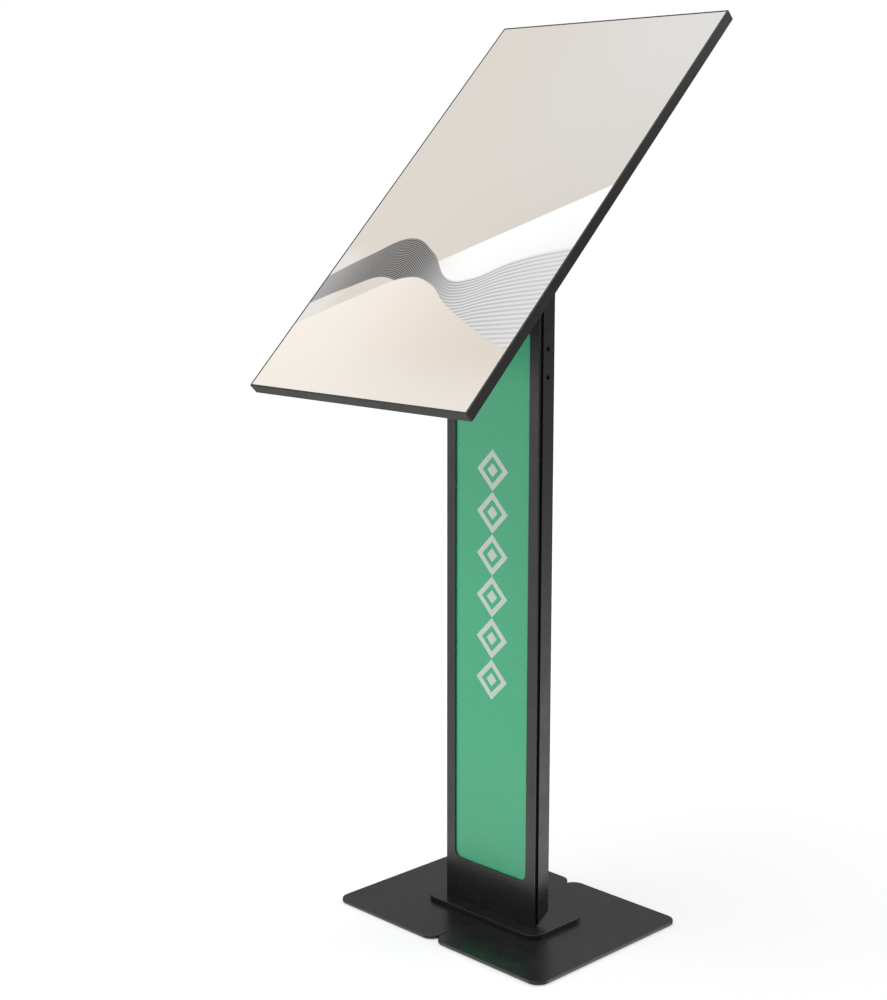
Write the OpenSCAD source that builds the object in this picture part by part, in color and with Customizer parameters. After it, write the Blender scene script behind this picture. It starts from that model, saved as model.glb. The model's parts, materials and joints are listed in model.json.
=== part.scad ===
// Free-standing touchscreen kiosk: a two-plate steel base, a boxed column with a framed graphic panel,
// a tilting and turning head, and a slim portrait display.
// Millimetres. X runs to the viewer's right, Y away from the viewer, Z up from the floor.
// The origin is on the floor at the middle of the base.

/* [Base] */
// Width of the base across both plates
base_w = 410; // [340:5:520]
// Depth of the base from front to back
base_d = 303; // [240:1:400]
// Thickness of each base plate
plate_t = 5; // [5:0.5:16]
// Gap between the two base plates
plate_gap = 1; // [0.5:0.5:4]
// Corner radius of each base plate
plate_r = 14; // [4:1:24]
// Thickness of the rubber pads under the base
pad_t = 1.2; // [1:0.1:4]
// Diameter of the rubber pads
pad_d = 24; // [12:1:36]
// Distance from the plate edges to the pad centres
pad_inset = 26; // [20:1:40]
// Thread size of the screws that hold the flange on the base
base_screw_d = 6; // [5:1:8]

/* [Foot flange] */
// Width of the flange under the column
flange_w = 222; // [200:1:300]
// Depth of the flange
flange_d = 112; // [90:1:180]
// Thickness of the flange
flange_t = 7; // [4:0.1:10]
// Corner radius of the flange
flange_r = 15; // [4:1:30]
// How far the flange is set forward of the base centre
flange_fwd = 3; // [0:1:15]

/* [Column] */
// Width of the column
col_w = 177; // [160:0.5:196]
// Depth of the column
col_d = 33; // [29:0.5:50]
// Height of the column's top above the floor
col_top = 936; // [800:1:1100]
// Distance from the base centre forward to the column's front face
col_front = 34.5; // [28:0.5:50]
// Wall of the side channels
channel_t = 2; // [1.5:0.1:3]
// Outer bend radius at the column's rear corners
channel_r = 3.2; // [3.2:0.1:5]
// Wall of the folded core behind the graphic panel
core_t = 2; // [1.5:0.1:3]
// Width of the shadow groove between the fascia and the side channels
groove_w = 6.5; // [5:0.5:7]
// Depth of the shadow groove into the column's side
groove_depth = 4; // [4:0.5:6]
// Width of each side channel's return across the back
back_return = 13; // [12:0.5:18]
// Height of the cable exit under the channels, at their front edge
exit_front_h = 2; // [1:0.5:6]
// Height of the cable exit under the channels, at the back
exit_back_h = 18.6; // [8:0.2:40]

/* [Fascia] */
// Thickness of the fascia frame
fascia_t = 2.5; // [1.5:0.1:3]
// Border of the fascia beside the window
window_side = 17.25; // [17.25:0.25:40]
// Border of the fascia above and below the window
window_end = 64.5; // [50:0.5:120]
// Corner radius of the window
window_r = 12; // [2:1:30]
// Thickness of the graphic panel
panel_t = 3; // [2.5:0.1:4]
// How far the graphic panel reaches behind the frame on each side
panel_lap = 4; // [2:0.5:5]

/* [Service cover] */
// Distance from the column's sides to the edges of the cover on its back
service_side = 4.5; // [4:0.5:5]
// Gap between the cover and the cable exit
service_rise = 4; // [2:1:20]
// Gap between the cover and the column's top
service_drop = 6; // [4:1:20]
// Thickness of the cover
service_t = 1.5; // [1:0.1:2]
// Number of screws on each side of the cover
service_screw_count = 6; // [3:1:10]

/* [Head] */
// Lean of the display from upright
lean = 45; // [20:1:75]
// Height of the tilt axle above the column's top
axle_rise = 30; // [28:1:60]
// Diameter of the tilt axle
axle_d = 10; // [8:0.5:12]
// Wall of each tilt bush
bush_t = 2; // [1.5:0.1:3]
// Length of each tilt bush
bush_len = 14; // [8:1:20]
// Radius of the knuckle's barrel
barrel_r = 11; // [10:0.5:12]
// Outer width of the tilt fork
fork_w = 100; // [96:1:140]
// Thickness of the fork's cheeks
cheek_t = 5; // [4:0.5:8]
// Radius of the fork's rounded ends
cheek_r = 13; // [10:0.5:14]
// Thickness of the fork's foot
fork_foot_t = 4; // [3:0.5:6]
// Thickness of each friction washer
washer_t = 2; // [1:0.25:4]
// Height of the head insert inside the column
insert_h = 155; // [145:5:300]
// Wall of the head insert
insert_t = 3; // [2.5:0.5:4]
// Drop from the column's top to the upper side screws
side_screw_drop = 91.5; // [60:0.5:100]
// Spacing of the side screws up the column
side_screw_pitch = 38.5; // [20:0.5:45]
// Distance from the back of the column to the side screws
side_screw_back = 15; // [9:0.1:16]
// Diameter of the side screws
side_screw_d = 6; // [5:0.5:8]
// Distance from the tilt axle to the knuckle's plate
knuckle_rise = 17.5; // [17:0.5:30]
// Thickness of the knuckle's plate
knuckle_t = 5; // [4:0.5:10]
// Distance from the tilt axle up to the turning axis, along the display
hub_up = 37; // [37:1:60]
// Outer radius of the hub ring
hub_r = 45; // [40:1:48]
// Bore radius of the hub ring
hub_bore_r = 30; // [26:0.5:32]
// Thickness of the hub between the knuckle and the wall plate
hub_t = 6; // [5:0.5:12]
// Radius of the hub spindle's stem
stem_r = 8; // [6:0.5:10]
// Side of the square display bracket
bracket_w = 230; // [215:1:260]
// Thickness of the display bracket
bracket_t = 3; // [2.5:0.5:5]
// Spacing of the display's four fixing holes
fix_pitch = 200; // [200:1:200]

/* [Display] */
// Width of the display
disp_w = 418; // [370:1:600]
// Height of the display
disp_h = 712; // [620:1:1000]
// Depth of the display's slim rim
disp_d = 15; // [14:0.5:40]
// Wall of the display's rim
rim_t = 2.5; // [1.5:0.1:4]
// Corner radius of the rim
rim_r = 2; // [2:0.5:4]
// Width of the rim's inward lip at the back
lip_w = 8; // [6:0.5:14]
// Sheet thickness of the lip, the back pan and the rear cover
sheet_t = 1.5; // [1:0.1:2]
// Thickness of the cover glass
glass_t = 3; // [2:0.1:3]
// Thickness of the gasket behind the glass
gasket_t = 1.2; // [1:0.1:2]
// Width of the gasket behind the glass
gasket_w = 8; // [4:0.5:10]
// Thickness of the liquid-crystal panel
lcd_t = 3.8; // [2.5:0.1:4]
// Width of the rear cover
cover_w = 300; // [280:1:320]
// Height of the rear cover
cover_h = 480; // [460:1:520]
// Depth of the rear cover behind the rim
cover_d = 28.5; // [28:0.5:60]
// Corner radius of the rear cover
cover_r = 12; // [6:1:24]
// Width of the rear cover's screwed flange
cover_flange_w = 12; // [10:1:16]

/* [Buttons] */
// Diameter of the buttons
button_d = 6; // [5:0.5:7]
// How far a button stands out of the cover
button_proud = 1.8; // [1.5:0.1:3]
// Travel of a button
button_travel = 1; // [0.5:0.1:1.2]
// Spacing of the buttons
button_pitch = 18; // [12:1:22]

/* [Fits] */
// Gap between pieces that move past each other
slip = 0.3; // [0.3:0.05:0.5]
// Radial clearance of a running shaft
run_fit = 0.05; // [0.02:0.01:0.1]
// Radial clearance around a screw
screw_fit = 0.1; // [0.05:0.05:0.3]
// Clearance of a piece that drops into a frame
drop_fit = 0.3; // [0.2:0.05:0.5]

/* [Hidden] */
$fn = 64;

// Base
plate_w = (base_w - plate_gap) / 2;
base_top = pad_t + plate_t;
flange_y = -flange_fwd;
flange_top = base_top + flange_t;
base_screw_xs = [30, flange_w / 2 - 23];
base_screw_dy = flange_d / 2 - 16;
base_head_d = base_screw_d * 1.9;
blind_floor = 0.8;

// Column, from the front to the back
col_y0 = -col_front;
panel_y0 = col_y0 + fascia_t;
core_y0 = panel_y0 + panel_t;
core_y1 = core_y0 + core_t;
channel_y0 = panel_y0 + groove_w;
col_y1 = col_y0 + col_d;
wall_y0 = col_y1 - channel_t;
core_half = col_w / 2 - groove_depth;
core_leg_y = channel_y0 + channel_t;
col_inner_half = col_w / 2 - channel_t;
column_h = col_top - flange_top;
rail_x0 = col_w / 2 - window_side + panel_lap;
window_w = col_w - 2 * window_side;
window_z0 = flange_top + window_end;
window_z1 = col_top - window_end;
ledge_h = 12;
panel_z0 = window_z0 - panel_lap;
rail_screw_x = rail_x0 + 2.7;
rail_screw_d = 4;
rail_screw_count = 5;
rail_screw_inset = 30;

// Service cover on the back of the side channels
back_gap_half = col_w / 2 - back_return;
service_half = col_w / 2 - service_side;
service_z0 = flange_top + exit_back_h + service_rise;
service_z1 = col_top - service_drop;
service_screw_x = back_gap_half + 4;
service_screw_inset = 20;

// Foot bracket inside the column
shoe_half = 60;
shoe_t = 3;
shoe_foot_t = 4;
shoe_h = 140;
shoe_y1 = wall_y0 - 1.5;
shoe_screw_d = 5;
shoe_screw_xs = [-45, -18, 18, 45];
shoe_screw_y = (core_y1 + shoe_t + shoe_y1) / 2;

// Head insert, cap and fork
cap_t = 2;
cap_top = col_top + cap_t;
insert_y0 = core_leg_y + 0.5;
insert_y1 = wall_y0 - (channel_r - channel_t);
insert_top_t = 4;
side_screw_y = col_y1 - side_screw_back;
side_screw_len = 9;
side_screw_sink = 1.2;
fork_screw_d = 5;
fork_screw_xs = [-34, -16, 16, 34];
fork_screw_y = (insert_y0 + insert_y1) / 2;
grommet_x = 66;
grommet_r = 5.5;
grommet_wall = 2;
axle_y = (col_y0 + col_y1) / 2;
axle_z = col_top + axle_rise;
cheek_inner = fork_w / 2 - cheek_t;
washer_face = cheek_inner - washer_t;
barrel_half = washer_face - 0.15;
bush_r = axle_d / 2 + run_fit + bush_t;
axle_head_t = 6;
axle_nut_t = 8;
hex_r = axle_d * 0.95;

// Distances from the tilt axle towards the viewer, square to the display
knuckle_z1 = knuckle_rise + knuckle_t;
bracket_z0 = knuckle_z1 + hub_t;
cover_z0 = bracket_z0 + bracket_t;
slab_z0 = cover_z0 + cover_d;
pan_z0 = slab_z0 + sheet_t;
light_z0 = pan_z0 + sheet_t;
slab_z1 = slab_z0 + disp_d;
glass_z0 = slab_z1 - glass_t;
gasket_z0 = glass_z0 - gasket_t;
lcd_z0 = gasket_z0 - lcd_t;
knuckle_r = hub_r + 5;
ring_screw_r = hub_r - 5;
ring_screw_d = 4;
ring_screw_angles = [20, 160, 200, 340];
spindle_screw_r = 19;
spindle_screw_d = 5;
stop_pin_r = 2.5;
stop_track_r = knuckle_r + 4;
stop_pin_angle = 45;
stop_lug_half = 4;
stop_gap = (stop_pin_r + stop_lug_half + 0.4) / stop_track_r * 180 / PI;
fix_screw_d = 6;
fix_screw_len = 16;
standoff_r = 7;

// Display internals
pan_w = disp_w - 2 * rim_t - 2 * drop_fit;
pan_h = disp_h - 2 * rim_t - 2 * drop_fit;
cover_cavity_z = cover_z0 + sheet_t;
cover_screw_d = 3;
cover_screw_inset = cover_flange_w / 2;
board_z = pan_z0 - 11.5;
board_t = 1.6;
spacer_r = 3;
port_w = 100;
port_h = 14;
inlet_w = 30;
inlet_h = 20;
inlet_x = 85;
port_depth = 28;
cover_bottom = hub_up - cover_h / 2;
speaker_x = 118;
speaker_y = cover_bottom + 82;
speaker_w = 44;
speaker_h = 84;
button_z = (cover_z0 + slab_z0) / 2;
button_y = hub_up + 60;
button_flange = 1.2;
button_flange_t = 1.5;
button_stem = 2.1;
switch_x = cover_w / 2 - sheet_t - slip - button_flange_t - button_stem - button_travel - slip;

// A flat rectangle with round corners, centred
module rounded(w, h, r) {
    square([w - 2 * r, h], center = true);
    square([w, h - 2 * r], center = true);
    for (sx = [-1, 1], sy = [-1, 1])
        translate([sx * (w / 2 - r), sy * (h / 2 - r)]) circle(r);
}

// A plate with round corners, standing on z = 0
module slab(w, h, t, r) {
    linear_extrude(t) rounded(w, h, r);
}

// A block between two corners
module block(low, high) {
    translate(low) cube(high - low);
}

// A profile drawn in Y and Z, spread evenly either side of x
module across(x, width) {
    translate([x - width / 2, 0, 0]) rotate([90, 0, 90]) linear_extrude(width) children();
}

// A countersunk screw pointing up, its head flush at z = 0
module flush_screw(d, length, grow = 0) {
    head_d = d * 1.9;
    cylinder(h = (head_d - d) / 2, d1 = head_d + 2 * grow, d2 = d + 2 * grow);
    cylinder(h = length, d = d + 2 * grow);
}

// The same with its drive socket
module flush_screw_solid(d, length) {
    difference() {
        flush_screw(d, length);
        translate([0, 0, -0.1]) cylinder(h = d * 0.4 + 0.1, d = d * 0.6, $fn = 6);
    }
}

// A cap screw pointing up, the underside of its head at z = 0
module cap_screw(d, length, head_h) {
    difference() {
        union() {
            translate([0, 0, -head_h]) cylinder(h = head_h, d = d * 1.75);
            cylinder(h = length, d = d);
        }
        translate([0, 0, -head_h - 0.1]) cylinder(h = head_h * 0.6 + 0.1, d = d * 0.7, $fn = 6);
    }
}

// The head's own frame: origin on the tilt axle, Y up the display, Z out towards the viewer
module on_head() {
    translate([0, axle_y, axle_z]) rotate([90 - lean, 0, 0]) children();
}

// Places of the repeated fixings
module at_base_screws() {
    for (sx = [-1, 1], x = base_screw_xs, sy = [-1, 1])
        translate([sx * x, flange_y + sy * base_screw_dy, pad_t]) children();
}

module at_shoe_screws() {
    for (x = shoe_screw_xs) translate([x, shoe_screw_y, base_top]) children();
}

module at_rail_screws() {
    step = (column_h - 2 * rail_screw_inset) / (rail_screw_count - 1);
    for (sx = [-1, 1], i = [0 : rail_screw_count - 1])
        translate([sx * rail_screw_x, core_y1, flange_top + rail_screw_inset + i * step])
            rotate([90, 0, 0]) children();
}

module at_service_screws() {
    step = (service_z1 - service_z0 - 2 * service_screw_inset) / (service_screw_count - 1);
    for (sx = [-1, 1], i = [0 : service_screw_count - 1])
        translate([sx * service_screw_x, col_y1 + service_t, service_z0 + service_screw_inset + i * step])
            rotate([90, 0, 0]) children();
}

module at_side_screws() {
    for (side = [0, 1], i = [0, 1])
        mirror([side, 0, 0])
            translate([col_w / 2, side_screw_y, col_top - side_screw_drop - i * side_screw_pitch])
                rotate([0, -90, 0]) children();
}

module at_fork_screws() {
    for (x = fork_screw_xs) translate([x, fork_screw_y, cap_top + fork_foot_t]) children();
}

module at_hub() {
    translate([0, hub_up, 0]) children();
}

module at_ring_screws() {
    at_hub() for (a = ring_screw_angles) rotate(a) translate([ring_screw_r, 0, knuckle_rise]) children();
}

module at_spindle_screws() {
    at_hub() for (a = [0 : 90 : 270]) rotate(a) translate([spindle_screw_r, 0, cover_z0]) children();
}

module at_display_fixings() {
    at_hub() for (sx = [-1, 1], sy = [-1, 1])
        translate([sx * fix_pitch / 2, sy * fix_pitch / 2, 0]) children();
}

module at_cover_screws() {
    side_x = cover_w / 2 + cover_screw_inset;
    end_y = cover_h / 2 + cover_screw_inset;
    at_hub() {
        for (sx = [-1, 1], y = [-0.42, 0, 0.42]) translate([sx * side_x, y * cover_h, slab_z0]) children();
        for (sy = [-1, 1], x = [-0.3, 0.3]) translate([x * cover_w, sy * end_y, slab_z0]) children();
    }
}

// ---- Base ----
module base_plate(side) {
    color("#2b2b2c") difference() {
        translate([side * (plate_gap + plate_w) / 2, 0, pad_t]) slab(plate_w, base_d, plate_t, plate_r);
        translate([0, 0, -0.01]) at_base_screws() flush_screw(base_screw_d, plate_t + 1, screw_fit);
    }
}

module base_plate_left() {
    base_plate(-1);
}

module base_plate_right() {
    base_plate(1);
}

module base_pads() {
    color("#161616") {
        cylinder(h = pad_t, d = pad_d);
        for (side = [-1, 1], sx = [-1, 1], sy = [-1, 1])
            translate([
                side * (plate_gap + plate_w) / 2 + sx * (plate_w / 2 - pad_inset),
                sy * (base_d / 2 - pad_inset), 0
            ]) cylinder(h = pad_t, d = pad_d);
    }
}

module base_screws() {
    color("#8c8c8e") at_base_screws()
        flush_screw_solid(base_screw_d, plate_t + flange_t - blind_floor - 0.2);
}

module foot_flange() {
    color("#2b2b2c") difference() {
        translate([0, flange_y, base_top]) slab(flange_w, flange_d, flange_t, flange_r);
        at_base_screws() cylinder(h = plate_t + flange_t - blind_floor, d = base_screw_d + 2 * screw_fit);
        translate([0, 0, -0.01]) at_shoe_screws() flush_screw(shoe_screw_d, flange_t + 1, screw_fit);
    }
}

// ---- Column ----
module foot_bracket() {
    y0 = core_y1;
    y1 = y0 + shoe_t;
    color("#3a3a3b") difference() {
        union() {
            block([-shoe_half, y0, flange_top], [shoe_half, y1, flange_top + shoe_h]);
            block([-shoe_half, y0, flange_top], [shoe_half, shoe_y1, flange_top + shoe_foot_t]);
            for (sx = [-1, 1]) across(sx * (shoe_half - shoe_t / 2), shoe_t)
                polygon([[y0, flange_top], [shoe_y1, flange_top], [shoe_y1, flange_top + 10],
                         [y1, flange_top + shoe_h * 0.6], [y0, flange_top + shoe_h * 0.6]]);
        }
        at_shoe_screws() cylinder(h = flange_t + shoe_foot_t - blind_floor, d = shoe_screw_d + 2 * screw_fit);
    }
}

module foot_screws() {
    color("#8c8c8e") at_shoe_screws()
        flush_screw_solid(shoe_screw_d, flange_t + shoe_foot_t - blind_floor - 0.2);
}

module column_core() {
    color("#262627") difference() {
        translate([0, 0, flange_top]) linear_extrude(column_h) difference() {
            translate([-core_half, core_y0]) square([2 * core_half, core_leg_y - core_y0]);
            translate([-core_half + core_t, core_y1]) square([2 * (core_half - core_t), col_d]);
        }
        at_rail_screws() cylinder(h = core_t + 1, d = rail_screw_d + 2 * screw_fit);
    }
}

// Outline of both side channels seen from above: square in front, bent corners at the back
module channel_outline(half, y0, y1, r) {
    translate([-half, y0]) square([2 * half, y1 - y0 - r]);
    translate([-half + r, y0]) square([2 * (half - r), y1 - y0]);
    for (sx = [-1, 1]) translate([sx * (half - r), y1 - r]) circle(r);
}

// One side of the column: a folded sheet with a short return in front and a wider one across the back
module column_side(side) {
    slant_z0 = flange_top + exit_front_h;
    slant_z1 = flange_top + exit_back_h;
    color("#2b2b2c") difference() {
        translate([0, 0, flange_top]) linear_extrude(column_h) difference() {
            channel_outline(col_w / 2, channel_y0, col_y1, channel_r);
            channel_outline(col_inner_half, channel_y0 + channel_t, wall_y0, channel_r - channel_t);
            translate([-core_half, channel_y0 - 1]) square([2 * core_half, channel_t + 2]);
            translate([-back_gap_half, wall_y0 - 1]) square([2 * back_gap_half, channel_t + 2]);
            translate([side > 0 ? -col_w : 0, channel_y0 - 1]) square([col_w, col_d + 2]);
        }
        across(0, col_w + 2) polygon([
            [channel_y0 - 1, flange_top - 1], [col_y1 + 1, flange_top - 1],
            [col_y1 + 1, slant_z1 + (slant_z1 - slant_z0) / (col_y1 - channel_y0)],
            [channel_y0 - 1, slant_z0 - (slant_z1 - slant_z0) / (col_y1 - channel_y0)]
        ]);
        at_service_screws() cylinder(h = 8, d = 4 + 2 * screw_fit);
        at_side_screws() translate([0, 0, -1]) cylinder(h = channel_t + 2, d = side_screw_d + 1);
    }
}

module column_side_left() {
    column_side(-1);
}

module column_side_right() {
    column_side(1);
}

module fascia_frame() {
    color("#2b2b2c") difference() {
        block([-col_w / 2, col_y0, flange_top], [col_w / 2, panel_y0, col_top]);
        translate([0, col_y0 - 1, (window_z0 + window_z1) / 2]) rotate([-90, 0, 0])
            slab(window_w, window_z1 - window_z0, fascia_t + 2, window_r);
    }
}

module panel_rail(side) {
    color("#1d1d1e") difference() {
        mirror([side < 0 ? 1 : 0, 0, 0])
            block([rail_x0, panel_y0, flange_top], [core_half, core_y0, col_top]);
        at_rail_screws() cylinder(h = core_t + panel_t - blind_floor / 2, d = rail_screw_d + 2 * screw_fit);
    }
}

module panel_rail_left() {
    panel_rail(-1);
}

module panel_rail_right() {
    panel_rail(1);
}

module panel_ledge() {
    color("#1d1d1e") block([-rail_x0, panel_y0, panel_z0 - ledge_h], [rail_x0, core_y0, panel_z0]);
}

module graphic_panel() {
    color("#41a37c") block([-rail_x0, panel_y0, panel_z0], [rail_x0, core_y0, window_z1 + panel_lap]);
}

module fascia_screws() {
    color("#8c8c8e") at_rail_screws() cap_screw(rail_screw_d, core_t + panel_t - blind_floor, 2);
}

module service_cover() {
    color("#2b2b2c") difference() {
        translate([0, col_y1, (service_z0 + service_z1) / 2]) rotate([-90, 0, 0])
            slab(2 * service_half, service_z1 - service_z0, service_t, 4);
        at_service_screws() translate([0, 0, -1]) cylinder(h = 8, d = 4 + 2 * screw_fit);
    }
}

module service_screws() {
    color("#8c8c8e") at_service_screws() cap_screw(4, service_t + channel_t + 2, 2);
}

module column_cap() {
    color("#1d1d1e") difference() {
        translate([0, axle_y, col_top]) slab(col_w, col_d, cap_t, 3);
        at_fork_screws() translate([0, 0, -fork_foot_t - cap_t - 1])
            cylinder(h = cap_t + 2, d = fork_screw_d + 2 * screw_fit);
        translate([grommet_x, fork_screw_y, col_top - 1]) cylinder(h = cap_t + 2, r = grommet_r + screw_fit);
    }
}

module cap_grommet() {
    color("#161616") translate([grommet_x, fork_screw_y, col_top]) difference() {
        union() {
            translate([0, 0, -insert_top_t]) cylinder(h = insert_top_t + cap_t, r = grommet_r);
            translate([0, 0, cap_t]) cylinder(h = grommet_wall, r = grommet_r + 3);
        }
        translate([0, 0, -insert_top_t - 1])
            cylinder(h = insert_top_t + cap_t + 6, r = grommet_r - grommet_wall);
    }
}

module head_insert() {
    color("#3a3a3b") difference() {
        union() {
            for (side = [0, 1]) mirror([side, 0, 0])
                block([col_inner_half - insert_t, insert_y0, col_top - insert_h],
                      [col_inner_half, insert_y1, col_top]);
            block([-col_inner_half, insert_y0, col_top - insert_top_t], [col_inner_half, insert_y1, col_top]);
        }
        at_side_screws() cylinder(h = channel_t + insert_t + 2, d = side_screw_d + 2 * screw_fit);
        at_fork_screws() translate([0, 0, -fork_foot_t - cap_t - insert_top_t - 1])
            cylinder(h = insert_top_t + 2, d = fork_screw_d + 2 * screw_fit);
        translate([grommet_x, fork_screw_y, col_top - insert_top_t - 1])
            cylinder(h = insert_top_t + 2, r = grommet_r + screw_fit);
    }
}

module side_screws() {
    color("#161616") at_side_screws() translate([0, 0, side_screw_sink]) difference() {
        cylinder(h = side_screw_len, d = side_screw_d);
        translate([0, 0, -0.1]) cylinder(h = 3, d = side_screw_d * 0.55, $fn = 6);
    }
}

// ---- Head ----
module tilt_fork() {
    color("#2b2b2c") difference() {
        union() {
            block([-fork_w / 2, axle_y - cheek_r, cap_top],
                  [fork_w / 2, axle_y + cheek_r, cap_top + fork_foot_t]);
            for (side = [0, 1]) mirror([side, 0, 0]) {
                block([cheek_inner, axle_y - cheek_r, cap_top], [fork_w / 2, axle_y + cheek_r, axle_z]);
                translate([cheek_inner, axle_y, axle_z]) rotate([0, 90, 0])
                    cylinder(h = cheek_t, r = cheek_r);
            }
        }
        translate([-fork_w, axle_y, axle_z]) rotate([0, 90, 0])
            cylinder(h = 2 * fork_w, d = axle_d + 2 * screw_fit);
        at_fork_screws() translate([0, 0, -fork_foot_t - 1])
            cylinder(h = fork_foot_t + 2, d = fork_screw_d + 2 * screw_fit);
    }
}

module fork_screws() {
    color("#8c8c8e") at_fork_screws() mirror([0, 0, 1])
        cap_screw(fork_screw_d, fork_foot_t + cap_t + insert_top_t, 2.5);
}

module tilt_axle() {
    color("#a8a8ab") translate([0, axle_y, axle_z]) rotate([0, 90, 0]) {
        translate([0, 0, -fork_w / 2]) cylinder(h = fork_w + axle_nut_t + 2, d = axle_d);
        translate([0, 0, -fork_w / 2 - axle_head_t]) cylinder(h = axle_head_t, r = hex_r, $fn = 6);
    }
}

module axle_nut() {
    color("#a8a8ab") translate([fork_w / 2, axle_y, axle_z]) rotate([0, 90, 0]) difference() {
        cylinder(h = axle_nut_t, r = hex_r, $fn = 6);
        translate([0, 0, -1]) cylinder(h = axle_nut_t + 2, d = axle_d + 2 * screw_fit);
    }
}

module friction_washers() {
    color("#b9b9bb") for (side = [0, 1]) mirror([side, 0, 0])
        translate([washer_face, axle_y, axle_z]) rotate([0, 90, 0]) difference() {
            cylinder(h = washer_t, r = barrel_r);
            translate([0, 0, -1]) cylinder(h = washer_t + 2, d = axle_d + 2 * screw_fit);
        }
}

module tilt_bushes() {
    color("#b08d4f") on_head() for (side = [0, 1]) mirror([side, 0, 0])
        translate([barrel_half - bush_len, 0, 0]) rotate([0, 90, 0]) difference() {
            cylinder(h = bush_len, r = bush_r);
            translate([0, 0, -1]) cylinder(h = bush_len + 2, d = axle_d + 2 * run_fit);
        }
}

module tilt_knuckle() {
    web_half = 18;
    rib_x = 28.5;
    rib_t = 5;
    seat_half = 30;
    stem_clear = 4;
    color("#2b2b2c") on_head() difference() {
        union() {
            translate([-barrel_half, 0, 0]) rotate([0, 90, 0]) cylinder(h = 2 * barrel_half, r = barrel_r);
            block([-web_half, -9, 0], [web_half, hub_up - stem_r * 1.6 - stem_clear, knuckle_rise]);
            for (sx = [-1, 1]) across(sx * rib_x, rib_t)
                polygon([[-8, -4], [-8, knuckle_rise], [hub_up + 41, knuckle_rise],
                         [hub_up + 41, knuckle_rise - 5], [8, -4]]);
            block([-seat_half, -barrel_r, knuckle_rise], [seat_half, hub_up, knuckle_z1]);
            translate([0, hub_up, knuckle_rise]) cylinder(h = knuckle_t, r = knuckle_r);
            at_hub() for (a = [stop_pin_angle - stop_gap, stop_pin_angle + 90 + stop_gap])
                rotate(a) block([knuckle_r - 3, -stop_lug_half, knuckle_rise],
                                [stop_track_r + stop_pin_r + 1.5, stop_lug_half, knuckle_z1]);
        }
        translate([-barrel_half - 1, 0, 0]) rotate([0, 90, 0])
            cylinder(h = 2 * barrel_half + 2, r = axle_d / 2 + 1);
        for (side = [0, 1]) mirror([side, 0, 0]) translate([barrel_half - bush_len, 0, 0])
            rotate([0, 90, 0]) cylinder(h = bush_len + 1, r = bush_r + run_fit);
        translate([0, hub_up, knuckle_rise - 1]) cylinder(h = knuckle_t + 2, r = stem_r + run_fit);
        at_ring_screws() translate([0, 0, -1]) cylinder(h = knuckle_t + 2, d = ring_screw_d + 2 * screw_fit);
    }
}

module hub_ring() {
    color("#8c8c8e") on_head() difference() {
        translate([0, hub_up, knuckle_z1]) cylinder(h = hub_t - slip, r = hub_r);
        translate([0, hub_up, knuckle_z1 - 1]) cylinder(h = hub_t + 2, r = hub_bore_r);
        at_ring_screws() cylinder(h = knuckle_t + hub_t - 1, d = ring_screw_d + 2 * screw_fit);
    }
}

module ring_screws() {
    color("#8c8c8e") on_head() at_ring_screws() cap_screw(ring_screw_d, knuckle_t + hub_t - 1.5, 2.2);
}

module hub_spindle() {
    color("#8c8c8e") on_head() difference() {
        at_hub() {
            translate([0, 0, knuckle_z1 + slip]) cylinder(h = hub_t - slip, r = hub_bore_r - slip);
            translate([0, 0, knuckle_rise - 5]) cylinder(h = knuckle_t + slip + 6, r = stem_r);
        }
        at_spindle_screws() mirror([0, 0, 1])
            cylinder(h = bracket_t + hub_t - slip - blind_floor, d = spindle_screw_d + 2 * screw_fit);
    }
}

module spindle_nut() {
    color("#a8a8ab") on_head() at_hub() translate([0, 0, knuckle_rise - slip - 4.3]) difference() {
        cylinder(h = 4.3, r = stem_r * 1.6, $fn = 6);
        translate([0, 0, -1]) cylinder(h = 7, r = stem_r + screw_fit);
    }
}

module spindle_screws() {
    color("#8c8c8e") on_head() at_spindle_screws() mirror([0, 0, 1])
        flush_screw_solid(spindle_screw_d, bracket_t + hub_t - slip - blind_floor - 0.2);
}

module stop_pin() {
    color("#a8a8ab") on_head() at_hub() rotate(stop_pin_angle)
        translate([stop_track_r, 0, knuckle_rise + 1])
            cylinder(h = cover_z0 - knuckle_rise - 1.5, r = stop_pin_r);
}

module display_bracket() {
    color("#2b2b2c") on_head() difference() {
        at_hub() translate([0, 0, bracket_z0]) slab(bracket_w, bracket_w, bracket_t, 8);
        at_spindle_screws() mirror([0, 0, 1]) translate([0, 0, -0.01])
            flush_screw(spindle_screw_d, bracket_t + 1, screw_fit);
        at_display_fixings() translate([0, 0, bracket_z0 - 1])
            cylinder(h = bracket_t + 2, d = fix_screw_d + 0.6);
        at_hub() rotate(stop_pin_angle) translate([stop_track_r, 0, bracket_z0 - 1])
            cylinder(h = bracket_t + 2, r = stop_pin_r + screw_fit);
    }
}

module bracket_screws() {
    color("#8c8c8e") on_head() at_display_fixings() translate([0, 0, bracket_z0])
        cap_screw(fix_screw_d, fix_screw_len, 3.5);
}

// ---- Display ----
module display_standoffs() {
    color("#a8a8ab") on_head() at_display_fixings() translate([0, 0, cover_cavity_z]) difference() {
        cylinder(h = pan_z0 - cover_cavity_z, r = standoff_r);
        translate([0, 0, -1]) cylinder(h = fix_screw_len, d = fix_screw_d + 2 * screw_fit);
    }
}

module display_rim() {
    color("#3b3a3a") on_head() at_hub() difference() {
        translate([0, 0, slab_z0]) slab(disp_w, disp_h, disp_d, rim_r);
        translate([0, 0, pan_z0]) slab(disp_w - 2 * rim_t, disp_h - 2 * rim_t, disp_d, 1);
        translate([0, 0, slab_z0 - 1])
            slab(disp_w - 2 * (rim_t + lip_w), disp_h - 2 * (rim_t + lip_w), disp_d, 4);
    }
}

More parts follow.
